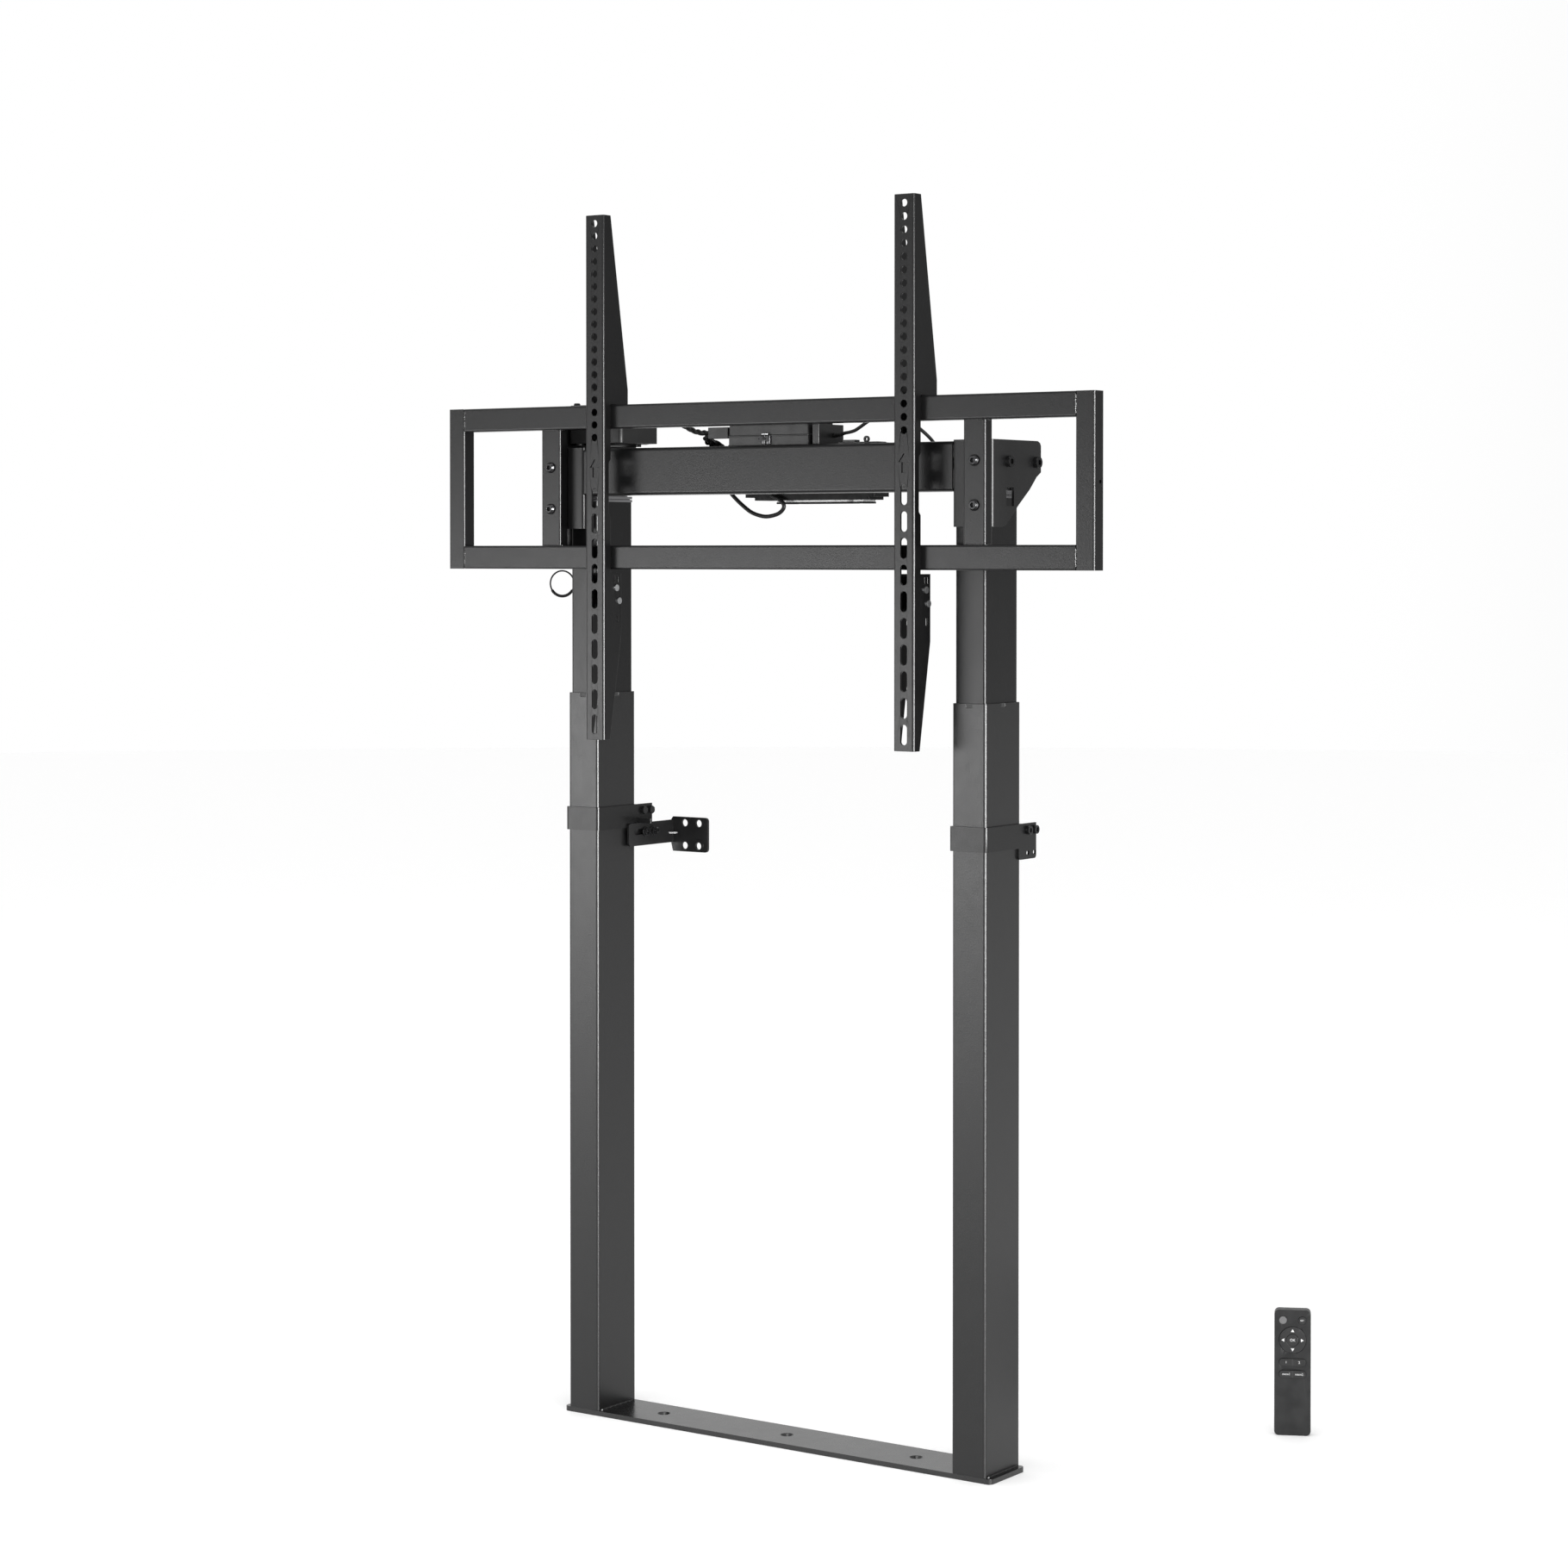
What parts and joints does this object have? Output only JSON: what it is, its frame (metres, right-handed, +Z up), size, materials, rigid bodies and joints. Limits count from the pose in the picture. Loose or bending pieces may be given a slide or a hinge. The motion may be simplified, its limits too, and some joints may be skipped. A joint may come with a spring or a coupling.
{
  "type": "tv lift mechanism",
  "caption": "Free-standing twin-column lift: telescopic legs on a floor plate, rail frame with hook-on screen arms, head drive and a handset.",
  "frame": {"origin": "centre of the floor plate's underside, on the axis of its middle screw hole", "axes": "+Z up, -Y towards the screen, +X to the right seen from the screen side"},
  "size_m": [0.9595, 0.4687, 1.4525],
  "materials": {
    "black_steel": "satin black powder coat",
    "black_screws": "black oxide",
    "zinc_steel": "zinc plated",
    "bright_steel": "ground steel",
    "bronze": "turned bronze",
    "cast_housing": "glass-filled, matt black",
    "motor_steel": "black paint",
    "black_plastic": "fine texture",
    "cable_sheath": "matt",
    "handset_plastic": "satin",
    "handset_keys": "soft matt",
    "circuit_board": "solder mask"
  },
  "bodies": {
    "base": {"base_plate": "black_steel", "outer_column_left": "black_steel", "outer_column_right": "black_steel", "top_glides": "black_plastic", "clamp_bands": "black_steel", "clamp_backs": "black_steel", "clamp_screws": "black_screws", "nut_tubes": "zinc_steel", "drive_nuts": "bronze"},
    "left_wall_bracket": {"wall_bracket_left": "black_steel"},
    "right_wall_bracket": {"wall_bracket_right": "black_steel"},
    "left_spindle": {"spindle_left": "bright_steel", "spindle_gears_left": "bright_steel"},
    "right_spindle": {"spindle_right": "bright_steel", "spindle_gear_right": "bright_steel"},
    "linking_shaft": {"cross_shaft": "bright_steel", "cross_gears": "bright_steel"},
    "motor_output": {"motor_shaft": "bright_steel"},
    "left_arm": {"arm_left": "black_steel", "arm_latch_left": "black_steel", "arm_fasteners_left": "zinc_steel"},
    "right_arm": {"arm_right": "black_steel", "arm_latch_right": "black_steel", "arm_fasteners_right": "zinc_steel"},
    "handset": {"handset_front": "handset_plastic", "handset_back": "handset_plastic", "handset_door": "handset_plastic", "handset_board": "circuit_board"},
    "ring_key": {"handset_ring": "handset_keys"},
    "ok_key": {"handset_ok": "handset_keys"},
    "plain_key": {"handset_key_plain": "handset_keys"},
    "set_key": {"handset_key_set": "handset_keys"},
    "upper_rocker": {"handset_rocker_upper": "handset_keys"},
    "lower_rocker": {"handset_rocker_lower": "handset_keys"},
    "carriage": {"inner_column_left": "black_steel", "inner_column_right": "black_steel", "bottom_glides": "black_plastic", "crossbeam": "black_steel", "head_bracket_left": "black_steel", "head_bracket_right": "black_steel", "frame_rails": "black_steel", "end_tubes": "black_steel", "support_tubes": "black_steel", "support_screws": "black_screws", "head_bolts": "black_screws", "housing_bases": "zinc_steel", "gear_housings": "cast_housing", "housing_caps": "cast_housing", "spindle_bearings": "bright_steel", "motor_plate": "black_steel", "motor_gearbox": "cast_housing", "motor_can": "motor_steel", "control_box": "black_plastic", "control_lid": "black_plastic", "lead_fittings": "black_plastic", "box_fixings": "zinc_steel", "power_unit": "black_plastic", "control_leads": "cable_sheath", "supply_leads": "cable_sheath", "cable_ring": "cable_sheath"}
  },
  "joints": [
    {"name": "lift", "type": "slide", "parent": "base", "child": "carriage", "axis": [0, 0, 1], "range_m": [-0.11, 0.44]},
    {"name": "left_spindle_turn", "type": "hinge", "parent": "carriage", "child": "left_spindle", "pos_m": [-0.276, 0, 0.6], "axis": [0, 0, 1], "range_deg": [-1985, 7925]},
    {"name": "right_spindle_turn", "type": "hinge", "parent": "carriage", "child": "right_spindle", "pos_m": [0.276, 0, 0.6], "axis": [0, 0, 1], "range_deg": [-7925, 1985]},
    {"name": "linking_shaft_turn", "type": "hinge", "parent": "carriage", "child": "linking_shaft", "pos_m": [0, 0, 1.15], "axis": [1, 0, 0], "range_deg": [-1985, 7925]},
    {"name": "motor_turn", "type": "hinge", "parent": "carriage", "child": "motor_output", "pos_m": [-0.276, 0.03, 1.205], "axis": [0, 1, 0], "range_deg": [-1985, 7925]},
    {"name": "left_arm_shift", "type": "slide", "parent": "carriage", "child": "left_arm", "axis": [1, 0, 0], "range_m": [-0.045, 0.09]},
    {"name": "right_arm_shift", "type": "slide", "parent": "carriage", "child": "right_arm", "axis": [1, 0, 0], "range_m": [-0.09, 0.045]},
    {"name": "left_bracket_shift", "type": "slide", "parent": "base", "child": "left_wall_bracket", "axis": [0, 1, 0], "range_m": [-0.01, 0.019]},
    {"name": "right_bracket_shift", "type": "slide", "parent": "base", "child": "right_wall_bracket", "axis": [0, 1, 0], "range_m": [-0.01, 0.019]},
    {"name": "handset_pick_up", "type": "slide", "parent": "base", "child": "handset", "axis": [0, 0, 1], "range_m": [0, 0.12]},
    {"name": "ring_press", "type": "slide", "parent": "handset", "child": "ring_key", "axis": [-0.4493, 0.8934, 0], "range_m": [0, 0.0008], "stiffness_N_per_m": 900, "springref_m": -0.0006},
    {"name": "ok_press", "type": "slide", "parent": "handset", "child": "ok_key", "axis": [-0.4493, 0.8934, 0], "range_m": [0, 0.0008], "stiffness_N_per_m": 900, "springref_m": -0.0006},
    {"name": "plain_press", "type": "slide", "parent": "handset", "child": "plain_key", "axis": [-0.4493, 0.8934, 0], "range_m": [0, 0.0008], "stiffness_N_per_m": 900, "springref_m": -0.0006},
    {"name": "set_press", "type": "slide", "parent": "handset", "child": "set_key", "axis": [-0.4493, 0.8934, 0], "range_m": [0, 0.0008], "stiffness_N_per_m": 900, "springref_m": -0.0006},
    {"name": "upper_rock", "type": "hinge", "parent": "handset", "child": "upper_rocker", "pos_m": [0.48022, 0.36328, 0.0875], "axis": [0, 0, 1], "range_deg": [-1.2, 1.2], "stiffness_Nm_per_rad": 0.1},
    {"name": "lower_rock", "type": "hinge", "parent": "handset", "child": "lower_rocker", "pos_m": [0.48022, 0.36328, 0.0734], "axis": [0, 0, 1], "range_deg": [-1.2, 1.2], "stiffness_Nm_per_rad": 0.1}
  ],
  "couplings": [
    {"joint": "left_spindle_turn", "follows": "lift", "rad_per_m": 314.16},
    {"joint": "right_spindle_turn", "follows": "lift", "rad_per_m": -314.16},
    {"joint": "linking_shaft_turn", "follows": "lift", "rad_per_m": 314.16},
    {"joint": "motor_turn", "follows": "lift", "rad_per_m": 314.16}
  ]
}
